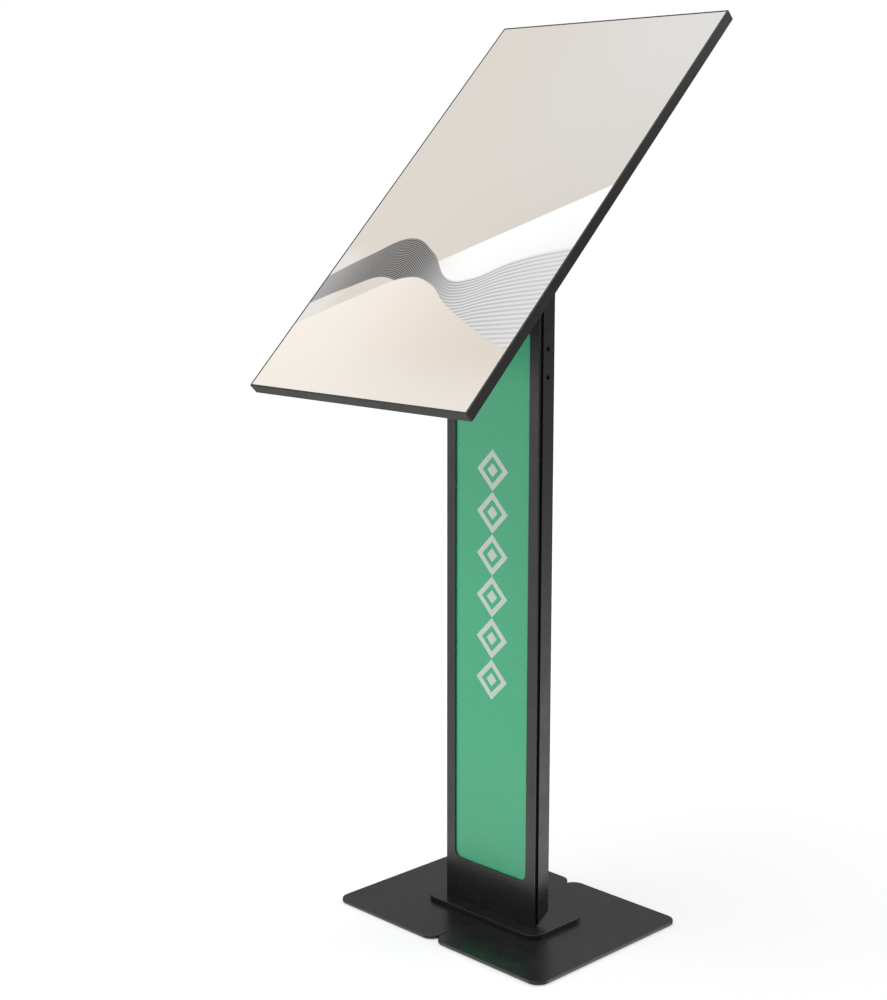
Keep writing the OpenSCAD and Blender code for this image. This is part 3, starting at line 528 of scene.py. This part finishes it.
def drill(name, centre, radius, length, axis, facets=32):
    """A round cutter that lies along X or Y."""
    bar = start_round(name, (0, 0, 0), radius, length, facets)
    lying = Matrix.Rotation(math.pi / 2, 4, "Y" if axis == "X" else "X")
    bar.matrix_world = Matrix.Translation(centre) @ lying
    bpy.ops.object.transform_apply(location=True, rotation=True, scale=True)
    return bar


foot_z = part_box("foot_flange")[1].z
side_screw_low, side_screw_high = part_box("side_screws")
cover_screw_low, cover_screw_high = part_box("service_screws")
side_screw_radius = 3 * MM
cover_screw_radius = 3.5 * MM
drill_x = 90 * MM
for hand, side in (("left", -1), ("right", 1)):
    low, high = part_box("column_side_" + hand)
    column_side = start_box("folded_side_" + hand, (low.x, low.y, foot_z), high)
    pick("FACE", lambda face: (
        abs(face.normal.z) > 0.9 or face.normal.y < -0.9 or face.normal.x * side < -0.9
    ))
    bpy.ops.mesh.delete(type="FACE")
    pick("EDGE", lambda edge: along(2)(edge) and edge.verts[0].co.y < low.y + MM)
    bpy.ops.mesh.extrude_edges_move(TRANSFORM_OT_translate={"value": (-side * FRONT_RETURN, 0, 0)})
    pick("EDGE", lambda edge: (
        along(2)(edge) and len(edge.link_faces) == 2 and edge.verts[0].co.y > high.y - MM
    ))
    round_off(BEND, 6)
    bpy.ops.mesh.select_all(action="SELECT")
    bpy.ops.mesh.bisect(
        plane_co=(0, low.y, foot_z + EXIT_FRONT),
        plane_no=Vector((0, EXIT_FRONT - EXIT_BACK, high.y - low.y)).normalized(),
        clear_inner=True, use_fill=False,
    )
    apply_modifier(column_side, "SOLIDIFY", thickness=SHEET, offset=-1.0, use_even_offset=True)
    holes = []
    hole_y = (side_screw_low.y + side_screw_high.y) / 2
    for hole_z in (side_screw_low.z + side_screw_radius, side_screw_high.z - side_screw_radius):
        holes.append(drill("screw_hole", (side * drill_x, hole_y, hole_z), SIDE_HOLE, THROUGH, "X"))
    hole_x = side * (cover_screw_high.x - cover_screw_radius)
    spread = cover_screw_high.z - cover_screw_low.z - 2 * cover_screw_radius
    for step in range(COVER_HOLES):
        hole_z = cover_screw_low.z + cover_screw_radius + spread * step / (COVER_HOLES - 1)
        holes.append(drill("cover_hole", (hole_x, high.y, hole_z), COVER_HOLE, 20 * MM, "Y", 20))
    cut_away(column_side, holes)
    apply_modifier(
        column_side, "BEVEL", width=0.35 * MM, segments=2, limit_method="ANGLE",
        angle_limit=math.radians(50), use_clamp_overlap=True,
    )
    close_piece(column_side, "stand", "black_powder_coat", powder_coat, "column_side_" + hand)
black_oxide = metal(
    "black_oxide_screws", (0.018, 0.018, 0.019), (0.035, 0.035, 0.037), (0.34, 0.48),
    900.0, (1.0, 1.0, 1.0), 0.00001, worn=(0.2, 0.2, 0.2),
)
dress("side_screws", black_oxide)


# ---- Fascia frame ----
# The column's front: one flat 2.5 mm sheet with a tall window, its corners cut round and all its edges
# eased before coating.
low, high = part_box("fascia_frame")
WINDOW_SIDE = 17.25 * MM
WINDOW_END = 64.5 * MM
WINDOW_CORNER = 12 * MM
fascia = start_box("fascia_front", low, high)
window = start_box(
    "window_cutter",
    (low.x + WINDOW_SIDE, low.y - 0.01, low.z + WINDOW_END),
    (high.x - WINDOW_SIDE, high.y + 0.01, high.z - WINDOW_END),
)
pick("EDGE", along(1))
round_off(WINDOW_CORNER, 10)
cut_away(fascia, [window])
apply_modifier(
    fascia, "BEVEL", width=0.45 * MM, segments=3, limit_method="ANGLE", angle_limit=math.radians(50),
)
close_piece(fascia, "stand", "black_powder_coat", powder_coat, "fascia_frame")


# ---- Graphic panel ----
# A green satin acrylic panel, 3 mm thick, dropped in behind the fascia. A plain row of diamonds in thin white
# film runs down its middle.
def acrylic(name, deep, bright, gloss, ior=1.49):
    """Satin plastic sheet: a faint mottle, small changes of gloss and a fine bloom."""
    made = bpy.data.materials.new(name)
    made.use_nodes = True
    tree = made.node_tree
    tree.nodes.clear()
    peel = use_group(tree, grain, Scale=420.0, Breadth=4.0)
    colour = mix_colours(tree, peel["Tone"], (*deep, 1.0), (*bright, 1.0))
    rough = ramp(tree, peel["Gloss"], 0.0, 1.0, gloss[0], gloss[1], shape="LINEAR")
    bumps = add_node(tree, "Bump", {"Height": peel["Height"], "Distance": 0.000002, "Strength": 1.0})
    body = add_node(
        tree, "BsdfPrincipled",
        {"Base Color": colour, "Roughness": rough, "Normal": bumps.outputs[0], "IOR": ior},
    )
    add_node(tree, "OutputMaterial", {"Surface": body.outputs[0]})
    return made


green = acrylic(
    "green_satin_acrylic", (0.026, 0.52, 0.245), (0.030, 0.54, 0.256), (0.27, 0.30), ior=1.85,
)
low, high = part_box("graphic_panel")
panel = start_box("green_panel", low, high)
pick("EDGE", sharp)
round_off(0.3 * MM, 2)
close_piece(panel, "stand", "green_panel", green, "graphic_panel")

white_film = acrylic("white_film", (0.70, 0.80, 0.74), (0.74, 0.84, 0.78), (0.35, 0.45))
FILM = 0.15 * MM
STROKE = 7.5 * MM
MOTIF_MIDDLE = 517 * MM
MOTIF_PITCH = 61 * MM
MOTIF_COUNT = 6
DIAMOND = 30 * MM
CENTRE = 10 * MM
motifs = []


def film_shape(name, corners, radius, stroke, height_z):
    """Thin film laid on the panel: an outline as wide as the stroke, or a full shape with eased corners."""
    select_nothing()
    bpy.ops.mesh.primitive_circle_add(
        vertices=corners, radius=radius, fill_type="NGON", location=(0, 0, 0),
    )
    shape = bpy.context.object
    shape.name = shape.data.name = name
    upright = Matrix.Rotation(math.pi / 2, 4, "X")
    shape.matrix_world = Matrix.Translation((0, low.y - FILM, height_z)) @ upright
    bpy.ops.object.transform_apply(location=True, rotation=True, scale=True)
    if stroke:
        pick("FACE", lambda face: True)
        bpy.ops.mesh.inset(thickness=stroke)
        bpy.ops.mesh.delete(type="FACE")
    else:
        pick("VERT", lambda vert: True)
        bpy.ops.mesh.bevel(offset=1 * MM, segments=2, affect="VERTICES")
    apply_modifier(shape, "SOLIDIFY", thickness=FILM, offset=-1.0)
    return shape


for step in range(MOTIF_COUNT):
    middle_z = MOTIF_MIDDLE + ((MOTIF_COUNT - 1) / 2 - step) * MOTIF_PITCH
    motifs.append(film_shape("film_diamond", 4, DIAMOND, STROKE, middle_z))
    motifs.append(film_shape("film_centre", 4, CENTRE, 0, middle_z))
close_piece(join_pieces("panel_motif", motifs), "stand", "green_panel", white_film)


# ---- Service cover ----
# A coated 1.5 mm plate that closes the column's back over its whole height. Twelve small cap screws hold it to
# the returns behind.
low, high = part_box("service_cover")
cover_plate = start_box("service_plate", low, high)
pick("EDGE", along(1))
round_off(4 * MM, 8)
pick("EDGE", sharp)
round_off(0.4 * MM, 2)
close_piece(cover_plate, "stand", "black_powder_coat", powder_coat, "service_cover")


# ---- Column cap and grommet ----
# A moulded cap closes the column's top. A rubber grommet at one side lets the display's cable down inside.
def eased_copy(node, name, width, body, slot, finish, segments=2):
    """A merged copy of a CAD node with its edges eased, which stands for the node."""
    piece = bpy.data.objects.new(name, frame["nodes"][node].data.copy())
    piece.data.name = name
    scene.collection.objects.link(piece)
    alone(piece)
    bpy.ops.mesh.customdata_custom_splitnormals_clear()
    bpy.ops.object.mode_set(mode="EDIT")
    bpy.ops.mesh.select_all(action="SELECT")
    bpy.ops.mesh.remove_doubles(threshold=2e-6)
    bpy.ops.mesh.dissolve_limited(angle_limit=math.radians(1.0))
    bpy.ops.object.mode_set(mode="OBJECT")
    apply_modifier(
        piece, "BEVEL", width=width, segments=segments, limit_method="ANGLE",
        angle_limit=math.radians(40), use_clamp_overlap=True,
    )
    return close_piece(piece, body, slot, finish, node)


moulded = coated(
    "moulded_black_plastic", (0.018, 0.018, 0.019), (0.026, 0.026, 0.027), (0.42, 0.55),
    1300.0, 0.00005, (0.06, 0.06, 0.06), worn_share=0.4, dusty=0.08,
)
eased_copy("column_cap", "moulded_cap", 0.4 * MM, "stand", "black_plastic", moulded)
eased_copy("cap_grommet", "rubber_grommet", 0.5 * MM, "stand", "black_rubber", rubber)


# ---- Tilting head ----
# A cut and welded steel fork on the column's top carries the axle. The knuckle turns on it between friction
# washers, on bronze bushes, and carries the hub that the display turns on.
steel = metal(
    "turned_plated_steel", (0.46, 0.46, 0.47), (0.7, 0.7, 0.71), (0.18, 0.34),
    1100.0, (0.05, 1.0, 1.0), 0.000008,
)
bronze = metal(
    "sintered_bronze", (0.34, 0.22, 0.09), (0.62, 0.44, 0.2), (0.34, 0.5),
    1500.0, (1.0, 1.0, 1.0), 0.00003, worn=(0.8, 0.62, 0.32),
)
head_coat = coated(
    "satin_black_head_coat", (0.0065, 0.0065, 0.0068), (0.0105, 0.0105, 0.0108), (0.32, 0.42),
    820.0, 0.00004, (0.05, 0.05, 0.052), worn_share=0.5, ior=1.75,
)
eased_copy("tilt_fork", "welded_fork", 0.8 * MM, "stand", "black_powder_coat", head_coat)
eased_copy("tilt_knuckle", "welded_knuckle", 0.6 * MM, "tilt_head", "black_powder_coat", head_coat)
eased_copy("tilt_axle", "turned_axle", 0.5 * MM, "stand", "bright_steel", steel)
eased_copy("axle_nut", "locking_nut", 0.5 * MM, "stand", "bright_steel", steel)
eased_copy("hub_ring", "turned_ring", 0.4 * MM, "tilt_head", "bright_steel", steel)
eased_copy(
    "display_bracket", "display_mounting_plate", 0.5 * MM, "display", "black_powder_coat", head_coat,
)
for kept in (
    "friction_washers", "hub_spindle", "spindle_nut", "stop_pin", "display_standoffs", "board_spacers",
):
    dress(kept, steel)
dress("tilt_bushes", bronze)
for kept in ("ring_screws", "spindle_screws", "bracket_screws", "cover_screws"):
    dress(kept, zinc)


# ---- Display rim ----
# A slim charcoal anodised frame, 15 mm deep, from mitred extrusion: a thin wall round the glass and a narrow
# lip at the back. Its outer edges are lightly broken.
tilt, turn = (next(j for j in frame["joints"] if j["name"] == n) for n in ("display_tilt", "display_turn"))
LEAN = math.atan2(-turn["axis"][1], turn["axis"][2])
HEAD = Matrix.Translation(Vector(tilt["pos_m"])) @ Matrix.Rotation(LEAN, 4, "X")


def box_on_head(node):
    """A CAD node's lowest and highest corner in the head's own frame: Y up the display, Z out of it."""
    places = [HEAD.inverted() @ v.co for v in frame["nodes"][node].data.vertices]
    return Vector(map(min, zip(*places))), Vector(map(max, zip(*places)))


def set_on_head(piece):
    """Tilts a piece that was modelled flat into its place on the head."""
    alone(piece)
    piece.matrix_world = HEAD
    bpy.ops.object.transform_apply(location=True, rotation=True, scale=True)


anodised = coated(
    "charcoal_anodised_rim", (0.015, 0.0147, 0.0143), (0.020, 0.0196, 0.0192), (0.34, 0.42),
    1600.0, 0.00001, (0.11, 0.11, 0.11), worn_share=0.35,
)
RIM_WALL = 2.5 * MM
RIM_LIP = 8 * MM
RIM_FLOOR = 1.5 * MM
low, high = box_on_head("display_rim")
rim = start_box("charcoal_rim", low, high)
pick("EDGE", along(2))
round_off(2 * MM, 4)
seat = Vector((RIM_WALL, RIM_WALL, 0))
over = Vector((0, 0, 10 * MM))
pocket = start_box("rim_pocket", low + seat + Vector((0, 0, RIM_FLOOR)), high - seat + over)
pick("EDGE", along(2))
round_off(1 * MM, 3)
lip = Vector((RIM_WALL + RIM_LIP, RIM_WALL + RIM_LIP, 0))
opening = start_box("rim_opening", low + lip - over, high - lip)
pick("EDGE", along(2))
round_off(4 * MM, 5)
cut_away(rim, [pocket, opening])
apply_modifier(
    rim, "BEVEL", width=0.4 * MM, segments=2, limit_method="ANGLE", angle_limit=math.radians(50),
)
set_on_head(rim)
close_piece(rim, "display", "dark_anodised_rim", anodised, "display_rim")


# ---- Cover glass and its picture ----
# One sheet of 3 mm toughened glass, set flush in the rim and bonded over the lit picture: a warm plain field,
# a white slope, and a ribbon of fine lines, dark to pale, that runs down behind a cream hill.
def curve_of(tree, share, points):
    """A number that follows a smooth curve through given points as share goes from 0 to 1."""
    made = add_node(tree, "FloatCurve", {"Value": share})
    line = made.mapping.curves[0]
    line.points[0].location = points[0]
    line.points[1].location = points[-1]
    for place in points[1:-1]:
        line.points.new(*place)
    made.mapping.update()
    return made.outputs[0]


def grey(level, warm=0.0):
    """A grey as the screen shows it, from a level of 0 to 255, made warmer by a few levels."""
    def linear(shade):
        shade = shade / 255
        return shade / 12.92 if shade <= 0.04045 else ((shade + 0.055) / 1.055) ** 2.4
    return (linear(level + warm), linear(level), linear(level - warm * 1.3), 1.0)


low, high = box_on_head("cover_glass")
picture = bpy.data.materials.new("lit_screen_glass")
picture.use_nodes = True
tree = picture.node_tree
tree.nodes.clear()
own = add_node(tree, "TexCoord").outputs["Object"]
flat = add_node(
    tree, "Mapping",
    {"Vector": own, "Location": HEAD @ Vector((low.x, high.y, high.z)), "Rotation": (LEAN, 0, 0),
     "Scale": (high.x - low.x, high.y - low.y, 1.0)},
    vector_type="TEXTURE",
).outputs[0]
parts = add_node(tree, "SeparateXYZ", {0: flat}).outputs
across = parts["X"]
down = calc(tree, "MULTIPLY", parts["Y"], -1.0)
left_field = mix_colours(tree, ramp(tree, down, 0.0, 0.65), grey(206, 6), grey(209, 7))
right_field = mix_colours(tree, ramp(tree, down, 0.0, 0.65), grey(214, 2), grey(204, 6))
field = mix_colours(tree, ramp(tree, across, 0.1, 0.95), left_field, right_field)
SLOPE_RISE = -0.385
SLOPE_START = 0.845
slope_line = calc(tree, "MULTIPLY_ADD", across, SLOPE_RISE, SLOPE_START)
above = calc(tree, "SUBTRACT", down, slope_line)
slope = mix_colours(tree, ramp(tree, across, 0.35, 0.62), grey(222, 5), grey(250))
slope = mix_colours(tree, ramp(tree, above, 0.02, 0.28), slope, grey(232, 4))
scene_colour = mix_colours(tree, ramp(tree, above, -0.002, 0.002), field, slope)
fold = calc(tree, "MULTIPLY", ramp(tree, across, 0.16, 0.05), ramp(tree, down, 0.62, 0.68))
scene_colour = mix_colours(tree, fold, scene_colour, grey(222, 4))
top = curve_of(tree, across, [(0, 0.715), (0.13, 0.655), (0.27, 0.607), (0.42, 0.64), (0.57, 0.705),
                              (0.66, 0.70), (0.80, 0.65), (1, 0.612)])
bottom = curve_of(tree, across, [(0, 0.79), (0.13, 0.745), (0.27, 0.712), (0.42, 0.755), (0.57, 0.855),
                                 (0.66, 0.895), (0.80, 0.905), (1, 0.90)])
through = calc(tree, "DIVIDE", calc(tree, "SUBTRACT", down, top), calc(tree, "SUBTRACT", bottom, top))
LINES = 25.0
ripple = calc(tree, "PINGPONG", calc(tree, "MULTIPLY", through, LINES), 0.5)
thread = ramp(tree, ripple, 0.12, 0.32)
dark_side = mix_colours(tree, ramp(tree, across, 0.0, 0.22), grey(128), grey(52))
gap = mix_colours(tree, ramp(tree, across, 0.36, 0.70), dark_side, grey(214))
thread_colour = mix_colours(tree, ramp(tree, across, 0.35, 0.58), grey(146, 2), grey(156, -2))
pale_thread = mix_colours(tree, ramp(tree, across, 0.55, 1.0), thread_colour, grey(178, -2))
ribbon = mix_colours(tree, thread, pale_thread, gap)
inside = calc(
    tree, "MULTIPLY", ramp(tree, through, 0.0, 0.03), ramp(tree, through, 1.0, 0.97),
)
faint = curve_of(tree, across, [(0, 0.75), (0.2, 0.95), (0.5, 0.95), (0.75, 0.85), (1, 0.65)])
scene_colour = mix_colours(tree, calc(tree, "MULTIPLY", inside, faint), scene_colour, ribbon)
hill_line = curve_of(tree, across, [(0, 0.845), (0.2, 0.765), (0.38, 0.708), (0.5, 0.72), (0.62, 0.765),
                                    (0.8, 0.815), (1, 0.86)])
hill = mix_colours(tree, ramp(tree, across, 0.05, 0.95), grey(234, 8), grey(210, 9))
hill = mix_colours(tree, ramp(tree, down, 0.86, 1.0, 0.0, 0.6), hill, grey(230, 6))
hill_share = ramp(tree, calc(tree, "SUBTRACT", down, hill_line), -0.002, 0.002)
scene_colour = mix_colours(tree, hill_share, scene_colour, hill)
smear = noise(tree, own, 9.0, 5.0, 0.7)
body = add_node(
    tree, "BsdfPrincipled",
    {"Base Color": (0.006, 0.006, 0.007, 1.0), "IOR": 1.5,
     "Roughness": ramp(tree, smear, 0.3, 0.7, 0.03, 0.09),
     "Emission Color": scene_colour, "Emission Strength": 1.0},
)
add_node(tree, "OutputMaterial", {"Surface": body.outputs[0]})

glass_edge = coated(
    "ground_glass_edge", (0.008, 0.009, 0.009), (0.014, 0.016, 0.016), (0.2, 0.35),
    900.0, 0.00001, (0.05, 0.055, 0.055), worn_share=0.2,
)
glass = start_box("screen_sheet", low, high)
pick("EDGE", along(2))
round_off(1 * MM, 4)
pick("EDGE", sharp)
round_off(0.35 * MM, 2)
set_on_head(glass)
close_piece(glass, "display", "screen_glass", glass_edge, "cover_glass")
glass.data.materials.append(picture)
look = HEAD.to_3x3() @ Vector((0, 0, 1))
for face in glass.data.polygons:
    face.material_index = 1 if face.normal.dot(look) > 0.9 else 0


# ---- Inside the display ----
# The picture's layers, the steel pan that closes the rim, and the electronics under the rear cover. The
# boards are solder-masked, with copper tracks showing through.
layer = acrylic("polarised_layer", (0.012, 0.012, 0.014), (0.018, 0.018, 0.02), (0.2, 0.3))
diffuser = acrylic("white_diffuser", (0.72, 0.72, 0.70), (0.78, 0.78, 0.76), (0.5, 0.6))
galvanised = metal(
    "galvanised_sheet", (0.38, 0.39, 0.40), (0.56, 0.57, 0.58), (0.34, 0.5),
    120.0, (1.0, 1.0, 1.0), 0.00001, tarnish=0.6,
)
flat_cable = acrylic("white_flat_cable", (0.62, 0.6, 0.54), (0.7, 0.68, 0.62), (0.4, 0.5))
board = bpy.data.materials.new("solder_masked_board")
board.use_nodes = True
tree = board.node_tree
tree.nodes.clear()
own = add_node(tree, "TexCoord").outputs["Object"]
cells = add_node(
    tree, "TexBrick",
    {"Vector": own, "Scale": 60.0, "Mortar Size": 0.02, "Color1": (0.02, 0.11, 0.04, 1.0),
     "Color2": (0.025, 0.13, 0.05, 1.0), "Mortar": (0.06, 0.24, 0.1, 1.0)},
)
peel = use_group(tree, grain, Scale=900.0, Breadth=20.0)
tracks = calc(tree, "MULTIPLY", peel["Tone"], 0.35)
colour = mix_colours(tree, tracks, cells.outputs["Color"], (0.03, 0.16, 0.06, 1.0))
bumps = add_node(tree, "Bump", {"Height": cells.outputs["Fac"], "Distance": 0.00003, "Strength": 1.0})
body = add_node(
    tree, "BsdfPrincipled",
    {"Base Color": colour, "Roughness": ramp(tree, peel["Gloss"], 0.0, 1.0, 0.3, 0.45),
     "Normal": bumps.outputs[0]},
)
add_node(tree, "OutputMaterial", {"Surface": body.outputs[0]})
dress("glass_gasket", rubber)
dress("lcd_panel", layer)
dress("backlight", diffuser)
dress("back_pan", galvanised)
dress("panel_cable", flat_cable)
for kept in ("main_board", "power_board", "key_board"):
    dress(kept, board)
dress("speakers", moulded)


# ---- Rear cover ----
# A pressed steel cover over the electronics, with a screwed flange, vents at the top, slots for the speakers,
# the sockets below and the buttons on one side.
eased_copy("rear_cover", "pressed_rear_cover", 0.6 * MM, "display", "black_powder_coat", head_coat)
eased_copy("port_block", "socket_block", 0.3 * MM, "display", "black_plastic", moulded)
eased_copy("power_inlet", "mains_inlet", 0.3 * MM, "display", "black_plastic", moulded)


# ---- Buttons ----
# Four round moulded buttons in the cover's side wall, with domed edges and a shallow dimple each.
for button in ("power_button", "menu_button", "plus_button", "minus_button"):
    eased_copy(button, "moulded_" + button, 0.4 * MM, button, "black_plastic", moulded, segments=3)
